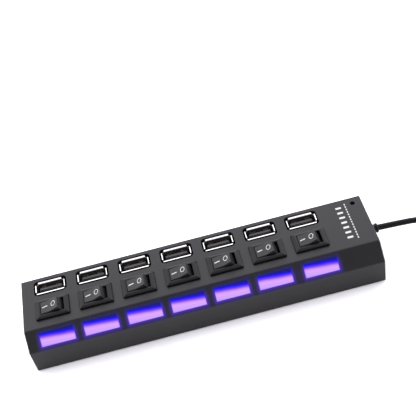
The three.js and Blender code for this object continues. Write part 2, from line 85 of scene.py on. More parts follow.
class Shader:
    """A new node material around one Principled shader."""

    def __init__(self, name, roughness=0.5, metallic=0.0, specular=0.5):
        self.material = bpy.data.materials.new(name)
        self.material.use_nodes = True
        self.tree = self.material.node_tree
        self.bsdf = self.tree.nodes["Principled BSDF"]
        self.bsdf.inputs["Roughness"].default_value = roughness
        self.bsdf.inputs["Metallic"].default_value = metallic
        self.bsdf.inputs["Specular IOR Level"].default_value = specular

    def node(self, kind, **values):
        node = self.tree.nodes.new(kind)
        for key, value in values.items():
            setattr(node, key, value)
        return node

    def link(self, source, target):
        self.tree.links.new(source, target)

    def feed(self, socket, value):
        if isinstance(value, bpy.types.NodeSocket):
            self.link(value, socket)
        else:
            socket.default_value = value

    def math(self, operation, *values):
        node = self.node("ShaderNodeMath", operation=operation)
        for socket, value in zip(node.inputs, values):
            self.feed(socket, value)
        return node.outputs[0]

    def place(self):
        return self.node("ShaderNodeTexCoord").outputs["Object"]

    def axes(self):
        """A point's x, y and z."""
        split = self.node("ShaderNodeSeparateXYZ")
        self.link(self.place(), split.inputs[0])
        return split.outputs

    def noise(self, size, detail=2.0, roughness=0.5, stretch=(1, 1, 1)):
        """Noise whose features are about `size` metres across."""
        mapping = self.node("ShaderNodeMapping")
        mapping.inputs["Scale"].default_value = stretch
        self.link(self.place(), mapping.inputs["Vector"])
        noise = self.node("ShaderNodeTexNoise")
        self.link(mapping.outputs["Vector"], noise.inputs["Vector"])
        noise.inputs["Scale"].default_value = 1 / size
        noise.inputs["Detail"].default_value = detail
        noise.inputs["Roughness"].default_value = roughness
        return noise.outputs["Fac"]

    def between(self, factor, low, high, start=0.3, end=0.7):
        """A number or colour that goes from low to high as factor goes from start to end."""
        ranged = self.node("ShaderNodeMapRange")
        self.feed(ranged.inputs["Value"], factor)
        ranged.inputs["From Min"].default_value = start
        ranged.inputs["From Max"].default_value = end
        if not isinstance(low, tuple):
            ranged.inputs["To Min"].default_value = low
            ranged.inputs["To Max"].default_value = high
            return ranged.outputs["Result"]
        return self.mix(ranged.outputs["Result"], (*low, 1), (*high, 1))

    def mix(self, factor, first, second):
        mix = self.node("ShaderNodeMix", data_type="RGBA")
        colours = [socket for socket in mix.inputs if socket.type == "RGBA"]
        self.feed(mix.inputs[0], factor)
        self.feed(colours[0], first)
        self.feed(colours[1], second)
        return [socket for socket in mix.outputs if socket.type == "RGBA"][0]

    def ramp(self, factor, stops):
        """Colour from a list of (position, colour) stops."""
        node = self.node("ShaderNodeValToRGB")
        elements = node.color_ramp.elements
        while len(elements) < len(stops):
            elements.new(0.5)
        for element, (position, colour) in zip(elements, stops):
            element.position = position
            element.color = (*colour, 1)
        self.link(factor, node.inputs["Fac"])
        return node.outputs["Color"]

    def bump(self, height, distance):
        bump = self.node("ShaderNodeBump")
        bump.inputs["Distance"].default_value = distance
        self.link(height, bump.inputs["Height"])
        return bump.outputs["Normal"]

    def set(self, **values):
        for key, value in values.items():
            self.feed(self.bsdf.inputs[key.replace("_", " ")], value)
        return self


BLOTCH_SIZE = 12 * MM
SPARK_GRAIN = 0.35 * MM
SPARK_HEIGHT = 0.02 * MM
# The near-black colour painted as shade into crevices
CREVICE_SHADE_COLOUR = (0.0006, 0.0006, 0.0006, 1)
# Painted crevice shade: the share of the sky that is open where the painted shade is darkest, and where it ends
CREVICE_SHADE_SKY = (0.35, 0.8)


def moulded(
    name, dark, light, rough, specular=0.3, grain=SPARK_GRAIN, height=SPARK_HEIGHT, crevice_shade=0.0
):
    """Moulded plastic with a fine spark grain and slow blotches of colour.

    With a crevice distance, shade is painted into its colour, darker wherever another face is that close.
    """
    shader = Shader(name, specular=specular)
    blotch = shader.noise(BLOTCH_SIZE, detail=3)
    spark = shader.noise(grain, detail=3, roughness=0.6)
    colour = shader.between(blotch, dark, light)
    if crevice_shade:
        # Painted shade: ambient occlusion darkens the colour towards near black in crevices
        open_sky = shader.node("ShaderNodeAmbientOcclusion", samples=8)
        open_sky.inputs["Distance"].default_value = crevice_shade
        clear = shader.between(open_sky.outputs["AO"], 0.0, 1.0, *CREVICE_SHADE_SKY)
        colour = shader.mix(clear, CREVICE_SHADE_COLOUR, colour)
    return shader.set(
        Base_Color=colour,
        Roughness=shader.between(spark, rough - 0.04, rough + 0.05),
        Normal=shader.bump(spark, height),
    )


# A crevice distance, when given, paints shade into the colour in crevices, as in moulded.
def plain(name, dark, light, rough, specular=0.3, crevice_shade=0.0):
    return moulded(name, dark, light, rough, specular, crevice_shade=crevice_shade).material


def rubber(name, dark, light, rough, specular=0.25):
    return moulded(name, dark, light, rough, specular, 0.25 * MM, 0.015 * MM).material


def metal(name, dark, light, rough, brush=(1, 1, 1)):
    shader = Shader(name, metallic=1.0)
    streak = shader.noise(0.5 * MM, detail=3, stretch=brush)
    return shader.set(
        Base_Color=shader.between(streak, dark, light),
        Roughness=shader.between(streak, rough - 0.04, rough + 0.08),
        Normal=shader.bump(streak, 0.002 * MM),
    ).material


# Lit windows. The last one stands a little off its column.
WINDOW_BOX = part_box("light_window_4")
WINDOW_MIDDLE = (WINDOW_BOX[0] + WINDOW_BOX[1]) / 2
WINDOW_HALF_WIDTH = (WINDOW_BOX[1].x - WINDOW_BOX[0].x) / 2
WINDOW_HALF_HEIGHT = 3.05 * MM
WINDOW_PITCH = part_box("light_window_5")[0].x - WINDOW_BOX[0].x
LAST_WINDOW_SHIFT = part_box("light_window_7")[0].x - WINDOW_BOX[0].x - 3 * WINDOW_PITCH
LAST_COLUMN_START = 2.55 * WINDOW_PITCH
COLUMNS_END = 3.5 * WINDOW_PITCH

# The light from the top of a pane (0) to its foot (1), and along its two sides
WINDOW_STOPS = [
    (0.00, (0.012, 0.010, 0.15)),
    (0.09, (0.010, 0.008, 0.34)),
    (0.17, (0.006, 0.004, 0.70)),
    (0.25, (0.034, 0.014, 0.95)),
    (0.34, (0.125, 0.046, 0.96)),
    (0.42, (0.315, 0.122, 0.97)),
    (0.50, (0.570, 0.255, 0.99)),
    (0.58, (0.695, 0.360, 0.98)),
    (0.66, (0.725, 0.400, 0.98)),
    (0.83, (0.670, 0.378, 0.95)),
    (0.94, (0.640, 0.380, 1.00)),
    (1.00, (0.560, 0.320, 0.95)),
]
WINDOW_SIDE = (0.030, 0.018, 0.62, 1)
WINDOW_SIDE_WIDTH = 0.4 * MM
WINDOW_SIDE_SHARE = 0.45
# The gradient's lean, per metre along x, and its unevenness
WINDOW_LEAN = -12.0
WINDOW_WOBBLE = 0.012

# A painted glow, emitted by the housing plastic itself round a pane. It stays near the slope and on the outer
# face.
GLOW_ABOVE = (0.003, 0.002, 0.15)
GLOW_BELOW = (0.085, 0.022, 0.68)
GLOW_REACH = 0.63 * MM
GLOW_PAST_REAR = 1.4 * MM
GLOW_DEPTH = 0.6 * MM


def window_places(shader):
    """Five measures of a point's place on the slope.

    They are its place along x from the nearest window's middle and up the slope from it, its
    place along x from the fourth window's middle, and its own y and z.
    """
    x, y, z = shader.axes()
    from_middle = shader.math("SUBTRACT", x, WINDOW_MIDDLE.x)
    in_last = shader.math("GREATER_THAN", from_middle, LAST_COLUMN_START)
    last_shift = shader.math("MULTIPLY", in_last, LAST_WINDOW_SHIFT)
    from_middle = shader.math("SUBTRACT", from_middle, last_shift)
    column = shader.math("WRAP", from_middle, WINDOW_PITCH / 2, -WINDOW_PITCH / 2)
    slope = shader.math("ADD", y, z)
    rise = shader.math("SUBTRACT", slope, WINDOW_MIDDLE.y + WINDOW_MIDDLE.z)
    along = shader.math("MULTIPLY", rise, math.sqrt(0.5))
    return column, along, from_middle, y, z


def housing_material():
    """Housing plastic, with a painted glow in the windows' colours a little way round them."""
    dark, light = (0.0085, 0.0084, 0.0090), (0.0103, 0.0102, 0.0110)
    shader = moulded("housing_plastic", dark, light, 0.42, 0.22)
    column, along, from_middle, y, z = window_places(shader)
    beside = shader.math("SUBTRACT", shader.math("ABSOLUTE", column), WINDOW_HALF_WIDTH)
    beside = shader.math("MAXIMUM", beside, 0.0)
    beyond = shader.math("SUBTRACT", shader.math("ABSOLUTE", along), WINDOW_HALF_HEIGHT)
    beyond = shader.math("MAXIMUM", beyond, 0.0)
    beside_squared = shader.math("POWER", beside, 2.0)
    beyond_squared = shader.math("POWER", beyond, 2.0)
    distance = shader.math("SQRT", shader.math("ADD", beside_squared, beyond_squared))
    fade = shader.math("EXPONENT", shader.math("DIVIDE", distance, -GLOW_REACH))
    top, rear = WINDOW_BOX[1].z, WINDOW_BOX[1].y
    limits = (
        shader.math("LESS_THAN", shader.math("ABSOLUTE", from_middle), COLUMNS_END),
        shader.math("LESS_THAN", y, rear + GLOW_PAST_REAR),
        shader.math("GREATER_THAN", shader.math("SUBTRACT", z, y), top - rear - GLOW_DEPTH),
    )
    for limit in limits:
        fade = shader.math("MULTIPLY", fade, limit)
    tone = shader.between(along, GLOW_BELOW, GLOW_ABOVE, 0.0, WINDOW_HALF_HEIGHT)
    # Painted glow: the housing emits the windows' colours, fading with distance from each pane
    painted_glow = shader.mix(fade, (0, 0, 0, 1), tone)
    return shader.set(Emission_Color=painted_glow, Emission_Strength=1.0).material


def window_material():
    """A milky pane lit from below: violet low down and deep blue towards its upper edge."""
    shader = Shader("lit_window", roughness=0.3, specular=0.05)
    column, along, *_ = window_places(shader)
    wobble = shader.between(shader.noise(5 * MM, detail=1), -WINDOW_WOBBLE, WINDOW_WOBBLE)
    lean = shader.math("MULTIPLY", column, WINDOW_LEAN)
    down = shader.between(along, 1.0, 0.0, -WINDOW_HALF_HEIGHT, WINDOW_HALF_HEIGHT)
    down = shader.math("ADD", shader.math("ADD", down, wobble), lean)
    lit = shader.ramp(down, WINDOW_STOPS)
    beside = shader.math("ABSOLUTE", column)
    side_start = WINDOW_HALF_WIDTH - WINDOW_SIDE_WIDTH
    side = shader.between(beside, 0.0, WINDOW_SIDE_SHARE, side_start, WINDOW_HALF_WIDTH)
    frost = shader.noise(0.2 * MM, detail=2)
    return shader.set(
        Base_Color=shader.between(frost, (0.0020, 0.0015, 0.008), (0.0030, 0.0025, 0.012)),
        Emission_Color=shader.mix(side, lit, WINDOW_SIDE),
        Emission_Strength=1.0,
        Normal=shader.bump(frost, 0.004 * MM),
    ).material


# The height over which the shade painted down a socket shell's inside turns into its bright lips
LIP_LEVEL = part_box("socket_shell_4")[1].z - 0.25 * MM
LIP_BLEND = (-0.07 * MM, 0.05 * MM)


def shell_material():
    """Bright plating on the lips; down inside the mouth it is rougher, with shade painted dark into its colour."""
    shader = Shader("bright_plate", metallic=1.0)
    height = shader.axes()["Z"]
    streak = shader.noise(0.5 * MM, detail=3, stretch=(1, 1, 0.2))
    bright = shader.between(streak, (0.53, 0.535, 0.52), (0.60, 0.605, 0.59))
    # Painted shade: the dark colour of the shell down inside the mouth
    shaded_inside = shader.between(streak, (0.090, 0.082, 0.076), (0.15, 0.14, 0.125))
    start, end = (LIP_LEVEL + step for step in LIP_BLEND)
    lips = shader.between(height, 0.0, 1.0, start, end)
    return shader.set(
        Base_Color=shader.mix(lips, shaded_inside, bright),
        Roughness=shader.between(lips, 0.62, 0.26, 0.0, 1.0),
        Normal=shader.bump(streak, 0.002 * MM),
    ).material


def board_material():
    """Green solder mask with paler tracks under it."""
    shader = Shader("solder_mask", roughness=0.35)
    place = shader.place()
    tracks = shader.node("ShaderNodeTexBrick")
    shader.link(place, tracks.inputs["Vector"])
    tracks.inputs["Scale"].default_value = 260
    tracks.inputs["Mortar Size"].default_value = 0.06
    tracks.inputs["Color1"].default_value = (0.010, 0.075, 0.030, 1)
    tracks.inputs["Color2"].default_value = (0.012, 0.085, 0.034, 1)
    tracks.inputs["Mortar"].default_value = (0.030, 0.150, 0.060, 1)
    return shader.set(
        Base_Color=tracks.outputs["Color"],
        Normal=shader.bump(tracks.outputs["Fac"], 0.02 * MM),
    ).material


def lens_material():
    shader = Shader("clear_lens")
    haze = shader.noise(1 * MM, detail=2)
    return shader.set(
        Base_Color=shader.between(haze, (0.35, 0.40, 0.60), (0.42, 0.48, 0.70)),
        Roughness=shader.between(haze, 0.08, 0.16),
        Transmission_Weight=0.5,
    ).material


def print_material():
    """White pad print, a little uneven."""
    shader = Shader("white_print")
    ink = shader.noise(0.4 * MM, detail=3, roughness=0.7)
    return shader.set(
        Base_Color=shader.between(ink, (0.37, 0.375, 0.36), (0.47, 0.475, 0.46)),
        Roughness=shader.between(ink, 0.45, 0.6),
        Normal=shader.bump(ink, 0.006 * MM),
    ).material


BASE = moulded(
    "base_plastic",
    (0.010, 0.010, 0.011),
    (0.014, 0.014, 0.015),
    rough=0.62,
    specular=0.3,
    grain=0.5 * MM,
    height=0.03 * MM,
)
# Switch body plastic, with shade painted into its colour in crevices
SWITCH = plain(
    "switch_plastic",
    (0.0056, 0.0056, 0.0059),
    (0.0072, 0.0072, 0.0075),
    rough=0.32,
    specular=0.12,
    crevice_shade=0.9 * MM,
)
# Rocker plastic, with shade painted into its colour in crevices
ROCKER = plain(
    "rocker_plastic",
    (0.0065, 0.0065, 0.0068),
    (0.0085, 0.0085, 0.0088),
    rough=0.42,
    specular=0.24,
    crevice_shade=0.7 * MM,
)
JACKET = rubber(
    "cable_jacket",
    (0.0018, 0.0018, 0.0019),
    (0.0028, 0.0028, 0.0030),
    rough=0.42,
    specular=0.12,
)
GLAND = rubber(
    "gland_rubber",
    (0.005, 0.005, 0.0055),
    (0.007, 0.007, 0.0075),
    rough=0.55,
    specular=0.2,
)
FINISHES = {
    "housing": housing_material(),
    "base": BASE.material,
    "screw": metal("black_zinc", (0.10, 0.10, 0.11), (0.15, 0.15, 0.16), 0.3),
    "foot_rubber": rubber("foot_rubber", (0.006, 0.006, 0.006), (0.010, 0.010, 0.010), 0.8),
    "board": board_material(),
    "chip": plain("chip_epoxy", (0.008, 0.008, 0.009), (0.014, 0.014, 0.015), 0.55),
    "plated_shell": shell_material(),
    "insulator": plain("insulator_plastic", (0.036, 0.036, 0.036), (0.050, 0.050, 0.049), 0.5),
    "switch_body": SWITCH,
    "rocker": ROCKER,
    "light_window": window_material(),
    "lens": lens_material(),
    "gland": GLAND,
    "cable_jacket": JACKET,
    "plug_body": plain("plug_plastic", (0.006, 0.006, 0.0065), (0.009, 0.009, 0.0095), 0.5),
    "plug_shell": metal("plug_plate", (0.27, 0.27, 0.27), (0.33, 0.33, 0.33), 0.2, (0.2, 1, 1)),
}
PRINT = print_material()
GOLD = metal("gold_contact", (0.40, 0.25, 0.08), (0.55, 0.36, 0.12), 0.3)
SPRING = metal("spring_metal", (0.42, 0.37, 0.33), (0.56, 0.51, 0.46), 0.3)


# Pieces


def add(name, mesh, material, body="root"):
    """Links a new piece with its material, and rides it on a CAD body."""
    piece = bpy.data.objects.new(name, mesh)
    bpy.context.scene.collection.objects.link(piece)
    mesh.materials.clear()
    mesh.materials.append(material)
    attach(piece, body)
    return piece


def shade_smooth(mesh, angle=35):
    """Smooth shading, left sharp where faces meet at more than this many degrees."""
    shape = bmesh.new()
    shape.from_mesh(mesh)
    for face in shape.faces:
        face.smooth = True
    for edge in shape.edges:
        edge.smooth = len(edge.link_faces) == 2 and edge.calc_face_angle() < math.radians(angle)
    shape.to_mesh(mesh)
    shape.free()


def bake(piece):
    """Makes the modifiers' result the piece's mesh, and keeps its flat faces' shading flat."""
    even = piece.modifiers.new("even", "WEIGHTED_NORMAL")
    even.keep_sharp = True
    even.weight = 80
    graph = bpy.context.evaluated_depsgraph_get()
    result = bpy.data.meshes.new_from_object(
        piece.evaluated_get(graph), preserve_all_data_layers=True, depsgraph=graph
    )
    piece.modifiers.clear()
    piece.data = result


def round_edges(piece, width, segments=2, angle=30):
    """Rounds every edge that turns more than this many degrees."""
    bevel = piece.modifiers.new("bevel", "BEVEL")
    bevel.width = width
    bevel.segments = segments
    bevel.limit_method = "ANGLE"
    bevel.angle_limit = math.radians(angle)
    bevel.miter_outer = "MITER_ARC"
    bevel.use_clamp_overlap = True
    bevel.harden_normals = False


def whole_faces(mesh):
    """Joins the triangles of each flat face."""
    shape = bmesh.new()
    shape.from_mesh(mesh)
    bmesh.ops.remove_doubles(shape, verts=shape.verts, dist=0.002 * MM)
    bmesh.ops.dissolve_limit(
        shape,
        angle_limit=math.radians(0.5),
        verts=shape.verts,
        edges=shape.edges,
        use_dissolve_boundaries=False,
    )
    shape.to_mesh(mesh)
    shape.free()


def finished(node, bevel, segments=2, body="root"):
    """A copy of a CAD node with its edges rounded, in its place."""
    mesh = frame["nodes"][node].data.copy()
    whole_faces(mesh)
    shade_smooth(mesh)
    slot = SLOTS[node]
    piece = add(node + "_shape", mesh, FINISHES[slot], body)
    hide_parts(node)
    if bevel:
        round_edges(piece, bevel, segments)
        for face in mesh.polygons:
            face.use_smooth = True
    bake(piece)
    return piece


def band(shape, rows):
    """Faces from each closed row of vertices to the next, and from the last to the first."""
    for row, after in zip(rows, rows[1:] + rows[:1]):
        for i in range(len(row)):
            j = (i + 1) % len(row)
            shape.faces.new((row[i], row[j], after[j], after[i]))


def prism(outline, low, high):
    """A closed mesh: an outline of (x, y) points, run up from one z to another."""
    shape = bmesh.new()
    floor = [shape.verts.new((x, y, low)) for x, y in outline]
    roof = [shape.verts.new((x, y, high)) for x, y in outline]
    shape.faces.new(reversed(floor))
    shape.faces.new(roof)
    for i in range(len(outline)):
        j = (i + 1) % len(outline)
        shape.faces.new((floor[i], floor[j], roof[j], roof[i]))
    return shape


def mesh_of(shape, name, place=Matrix()):
    shape.transform(place)
    bmesh.ops.recalc_face_normals(shape, faces=shape.faces)
    mesh = bpy.data.meshes.new(name)
    shape.to_mesh(mesh)
    shape.free()
    return mesh


def merged(name, meshes):
    """One mesh that holds several."""
    shape = bmesh.new()
    for mesh in meshes:
        shape.from_mesh(mesh)
        bpy.data.meshes.remove(mesh)
    whole = bpy.data.meshes.new(name)
    shape.to_mesh(whole)
    shape.free()
    return whole


def rounded_rectangle(width, height, radius, steps=4, centre=(0, 0)):
    points = []
    corners = ((1, -1, -90), (1, 1, 0), (-1, 1, 90), (-1, -1, 180))
    for side, end, start in corners:
        for step in range(steps + 1):
            angle = math.radians(start + 90 * step / steps)
            x = side * (width / 2 - radius) + radius * math.cos(angle)
            y = end * (height / 2 - radius) + radius * math.sin(angle)
            points.append((centre[0] + x, centre[1] + y))
    return points


def ring(outer, inner, low, high, sides=40):
    """A closed oval band; outer and inner are (half width, half height)."""
    shape = bmesh.new()
    rows = []
    for (a, b), z in ((outer, low), (outer, high), (inner, high), (inner, low)):
        angles = [2 * math.pi * i / sides for i in range(sides)]
        rows.append([shape.verts.new((a * math.cos(t), b * math.sin(t), z)) for t in angles])
    band(shape, rows)
    return shape


# Lead: its open stretches are the CAD solids' own routes, in millimetres, and the coil's turns
# lie inside the CAD ring

CORD_RADIUS = 1.4 * MM
COIL_CENTRE = Vector((139, 0, 0)) * MM
COIL_RADIUS = 16 * MM
COIL_LIFT = 0.32 * MM
COIL_STEP = 12
COIL_CROSSOVER = 48
LEAD_HEADING = -40
TAIL_HEADING = 15
LEAD_ROUTE = [
    (82.9, 3.1, 12.02),
    (83.5, 3.1, 12),
    (88, 3.1, 11.7),
    (92, 3.1, 11.4),
    (96, 3.08, 11.08),
    (100, 3, 10.7),
    (103.8, 2.6, 10.1),
    (107.3, 1.6, 8.8),
    (110.5, -0.2, 6.8),
    (113.4, -2.5, 4.6),
    (116, -4.9, 2.8),
    (118.5, -7.3, 1.85),
    (122.7, -10.9, 1.55),
]
TAIL_ROUTE = [
    (146, -16.1, 4.35),
    (148.5, -15.2, 4.35),
    (151.5, -14, 4.2),
    (154.5, -12.6, 4),
    (157.5, -11.2, 4),
    (161, -9.9, 4),
    (165.2, -9.5, 4),
    (166, -9.5, 4),
]


def smooth_step(value):
    value = min(max(value, 0.0), 1.0)
    return value * value * (3 - 2 * value)


def coil_route():
    """Three turns inwards on the surface, then one turn outwards on top of them."""
    thick = 2 * CORD_RADIUS
    bottom = CORD_RADIUS + COIL_LIFT
    top = bottom + thick
    turns = [
        (COIL_RADIUS + thick, bottom),
        (COIL_RADIUS, bottom),
        (COIL_RADIUS - thick, bottom),
        (COIL_RADIUS - thick / 2, top),
    ]
    start = LEAD_HEADING - 90
    total = 360 * len(turns) + TAIL_HEADING - LEAD_HEADING
    points = []
    for i in range(int(total / COIL_STEP) + 1):
        done = i * COIL_STEP
        lap = min(int(done / 360), len(turns) - 1)
        into = done - 360 * lap
        radius, height = turns[lap]
        if lap == len(turns) - 1:
            radius += thick * smooth_step(into / 360)
        if lap and into < COIL_CROSSOVER:
            before = turns[lap - 1]
            share = smooth_step(into / COIL_CROSSOVER)
            radius = before[0] + (radius - before[0]) * share
            climb = smooth_step(1.5 * into / COIL_CROSSOVER)
            height = before[1] + (height - before[1]) * climb
        angle = math.radians(start + done)
        place = Vector((radius * math.cos(angle), radius * math.sin(angle), height))
        points.append(COIL_CENTRE + place)
    return points


def make_lead():
    route = [Vector(point) * MM for point in LEAD_ROUTE]
    route += coil_route()
    route += [Vector(point) * MM for point in TAIL_ROUTE]
    curve = bpy.data.curves.new("lead", "CURVE")
    curve.dimensions = "3D"
    curve.bevel_depth = CORD_RADIUS
    curve.bevel_resolution = 5
    curve.resolution_u = 5
    curve.use_fill_caps = True
    spline = curve.splines.new("BEZIER")
    spline.bezier_points.add(len(route) - 1)
    for point, place in zip(spline.bezier_points, route):
        point.co = place
        point.handle_left_type = "AUTO"
        point.handle_right_type = "AUTO"
    lead = bpy.data.objects.new("lead", curve)
    bpy.context.scene.collection.objects.link(lead)
    curve.materials.append(FINISHES["cable_jacket"])
    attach(lead, "root")
    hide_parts("cable_lead", "cable_coil")
    return lead


TIE_WIDTH = 7 * MM
TIE_ANGLE = 35
# The tie's faces, measured from the turns' own surface
TIE_INSIDE = -0.15 * MM
TIE_RIM = 0.22 * MM
TIE_CROWN = 0.3 * MM
TIE_EASE = 0.12 * MM
TOP_TURN_SIDE = 0.3 * MM


def wrap(centres, reach, steps=36):
    """The outline of a band pulled tight round circles of this radius."""
    points = []
    for step in range(steps):
        angle = 2 * math.pi * step / steps
        way = Vector((math.cos(angle), math.sin(angle)))
        outermost = max((Vector(centre) for centre in centres), key=lambda centre: centre.dot(way))
        points.append(outermost + reach * way)
    return points


def make_tie():
    """A soft black wrap round the coil's section."""
    thick = 2 * CORD_RADIUS
    centres = [(side, CORD_RADIUS) for side in (-thick, 0, thick)]
    centres.append((TOP_TURN_SIDE, CORD_RADIUS + thick))
    rim = wrap(centres, CORD_RADIUS + TIE_RIM)
    crown = wrap(centres, CORD_RADIUS + TIE_CROWN)
    inner = wrap(centres, CORD_RADIUS + TIE_INSIDE)
    half = TIE_WIDTH / 2
    sections = (
        (rim, -half + TIE_EASE),
        (crown, 0),
        (rim, half - TIE_EASE),
        (inner, half),
        (inner, -half),
    )
    shape = bmesh.new()
    band(shape, [[shape.verts.new((x, side, z)) for x, z in points] for points, side in sections])
    middle = Matrix.Translation(COIL_CENTRE + Vector((0, 0, COIL_LIFT)))
    turn = Matrix.Rotation(math.radians(TIE_ANGLE), 4, "Z")
    place = middle @ turn @ Matrix.Translation((COIL_RADIUS, 0, 0))
    mesh = mesh_of(shape, "cable_tie", place)
    shade_smooth(mesh, angle=40)
    return add("cable_tie", mesh, FINISHES["foot_rubber"])


# The insert's ends are measured along the plug's metal end from its rear. Each contact has its
# place across the plug and its length, in millimetres.
PLUG_WALL = 0.32 * MM
INSERT_START = 2.6 * MM
INSERT_END = 11.2 * MM
INSERT_PROUD = 0.03 * MM
PLUG_CONTACTS = ((-3.5, 7.4), (-1, 6.4), (1, 6.4), (3.5, 7.4))
PLUG_CONTACT_WIDTH = 1.2 * MM
PLUG_CONTACT_SETBACK = 0.5
PLUG_CONTACT_SINK = 0.05 * MM
PLUG_CONTACT_RISE = 0.08 * MM


def make_plug_insert():
    """The dark bar in the plug's metal end, a hair proud of the CAD one, and its four contacts."""
    low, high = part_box("plug_shell")
    middle = (low + high) / 2
    side = (high.y - low.y) / 2 - PLUG_WALL
    start, end = low.x + INSERT_START, low.x + INSERT_END + INSERT_PROUD
    top = middle.z + INSERT_PROUD
    centre = ((start + end) / 2, middle.y)
    outline = rounded_rectangle(end - start, 2 * side, radius=0.2 * MM, steps=3, centre=centre)
    bar = prism(outline, low.z + PLUG_WALL, top)
    insert = add("plug_insert", mesh_of(bar, "plug_insert"), FINISHES["plug_body"])
    pins = []
    for y, length in PLUG_CONTACTS:
        outline = rounded_rectangle(length * MM, PLUG_CONTACT_WIDTH, radius=0.3 * MM, steps=3)
        x = end - (PLUG_CONTACT_SETBACK + length / 2) * MM
        place = Matrix.Translation((x, middle.y + y * MM, top))
        pin = prism(outline, -PLUG_CONTACT_SINK, PLUG_CONTACT_RISE)
        pins.append(mesh_of(pin, "pin", place))
    contacts = add("plug_contacts", merged("plug_contacts", pins), GOLD)
    return insert, contacts


lead = make_lead()
plug = finished("plug_body", 0.5 * MM, segments=3)
plug_metal = finished("plug_shell", 0.12 * MM)
gland = finished("cable_gland", 0.12 * MM)
tie = make_tie()
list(make_plug_insert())


# Housing, base, board and switches

HOUSING_EDGE = 0.45 * MM
HOUSING_CHAMFER = 7 * MM
HOUSING_SKIN = 0.004 * MM
ENVELOPE_BELOW = 2 * MM


def envelope():
    """The housing's outer shape, a hair inside the CAD faces and run on below its foot."""
    low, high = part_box("top_shell")
    front, rear = low.y + HOUSING_SKIN, high.y - HOUSING_SKIN
    foot, top = low.z - ENVELOPE_BELOW, high.z - HOUSING_SKIN
    outline = [
        (front, foot),
        (rear, foot),
        (rear, top),
        (low.y + HOUSING_CHAMFER, top),
        (front, high.z - HOUSING_CHAMFER),
    ]
    solid = prism(outline, low.x + HOUSING_SKIN, high.x - HOUSING_SKIN)
    turn = Matrix(((0, 0, 1, 0), (1, 0, 0, 0), (0, 1, 0, 0), (0, 0, 0, 1)))
    piece = bpy.data.objects.new("envelope", mesh_of(solid, "envelope", turn))
    bpy.context.scene.collection.objects.link(piece)
    return piece


def housing():
    """The CAD housing, cut back to rounded outer edges."""
    mesh = frame["nodes"]["top_shell"].data.copy()
    piece = add("top_shell_shape", mesh, FINISHES["housing"], "root")
    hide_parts("top_shell")
    outside = envelope()
    round_edges(outside, HOUSING_EDGE, segments=3)
    cut = piece.modifiers.new("cut", "BOOLEAN")
    cut.operation = "INTERSECT"
    cut.solver = "EXACT"
    cut.object = outside
    bake(piece)
    bpy.data.objects.remove(outside)
    shade_smooth(piece.data, angle=32)
    bake(piece)


housing()
for node, bevel in (
    ("base_cover", 0.25 * MM),
    ("circuit_board", 0),
    ("hub_chip", 0.15 * MM),
    ("power_led", 0.2 * MM),
):
    finished(node, bevel)
for corner in range(1, 5):
    finished(f"base_screw_{corner}", 0.1 * MM)
    finished(f"rubber_foot_{corner}", 0.15 * MM)
for port in PORTS:
    finished(f"socket_tongue_{port}", 0.1 * MM)
    finished(f"switch_body_{port}", 0.2 * MM)
    finished(f"rocker_{port}", 0.22 * MM, segments=3, body=f"rocker_{port}")
    finished(f"light_window_{port}", 0.1 * MM)
    finished(f"port_led_{port}", 0)


# Socket shells: a plated tube with rounded corners, and on each side a lip that curls outwards

MOUTH = (12.5 * MM, 5.12 * MM)
MOUTH_WALL = 0.35 * MM
# Each lip's side of the mouth in degrees, its length and its reach outwards, in millimetres
LIPS = ((0, 11.0, 1.0), (90, 4.2, 0.55), (180, 12.8, 1.0), (270, 4.2, 0.55))
LIP_RISE = 0.75 * MM
LIP_THICKNESS = 0.28 * MM
LIP_CURL = 0.38 * MM
LIP_CURL_ANGLE = math.radians(72)
LIP_ROOT = -0.4 * MM
LIP_TAPER = 0.25
TUBE_BELOW_LIPS = 0.1 * MM


def tube_shape(bottom, top):
    walls = MOUTH[0] + 2 * MOUTH_WALL, MOUTH[1] + 2 * MOUTH_WALL
    outer = rounded_rectangle(*walls, radius=0.75 * MM, steps=5)
    inner = rounded_rectangle(*MOUTH, radius=0.4 * MM, steps=5)
    shape = bmesh.new()
    rows = []
    for points, z in ((outer, bottom), (outer, top), (inner, top), (inner, bottom)):
        rows.append([shape.verts.new((x, y, z)) for x, y in points])
    band(shape, rows)
    return shape


def lip_shape(length, reach, steps=5):
    """A strip that leaves the mouth's edge upright, curls outwards and ends in a flat run."""
    sine, cosine = math.sin(LIP_CURL_ANGLE), math.cos(LIP_CURL_ANGLE)
    flat_start = LIP_CURL * (1 - cosine)
    flat_run = max(reach - flat_start - LIP_THICKNESS * cosine, 0)
    flat_rise = flat_run / math.tan(LIP_CURL_ANGLE)
    base = LIP_RISE - LIP_CURL * sine - flat_rise
    inner = [(0, LIP_ROOT)]
    outer = [(LIP_THICKNESS, LIP_ROOT)]
    for step in range(steps + 1):
        turn = LIP_CURL_ANGLE * step / steps
        y = LIP_CURL * (1 - math.cos(turn))
        z = base + LIP_CURL * math.sin(turn)
        inner.append((y, z))
        outer.append((y + LIP_THICKNESS * math.cos(turn), z - LIP_THICKNESS * math.sin(turn)))
    tip_y, tip_z = y + flat_run, z + flat_rise
    inner.append((tip_y, tip_z))
    outer.append((tip_y + LIP_THICKNESS * cosine, tip_z - LIP_THICKNESS * sine))
    section = inner + outer[::-1]
    count = len(section)
    shape = bmesh.new()
    ends = []
    for side in (-1, 1):
        row = [(side * (length / 2 - LIP_TAPER * max(y, 0)), y, z) for y, z in section]
        ends.append([shape.verts.new(point) for point in row])
    left, right = ends
    for i in range(count):
        j = (i + 1) % count
        shape.faces.new((left[i], left[j], right[j], right[i]))
    for end in ends:
        for i in range(count // 2 - 1):
            shape.faces.new((end[i], end[i + 1], end[count - 2 - i], end[count - 1 - i]))
    return shape


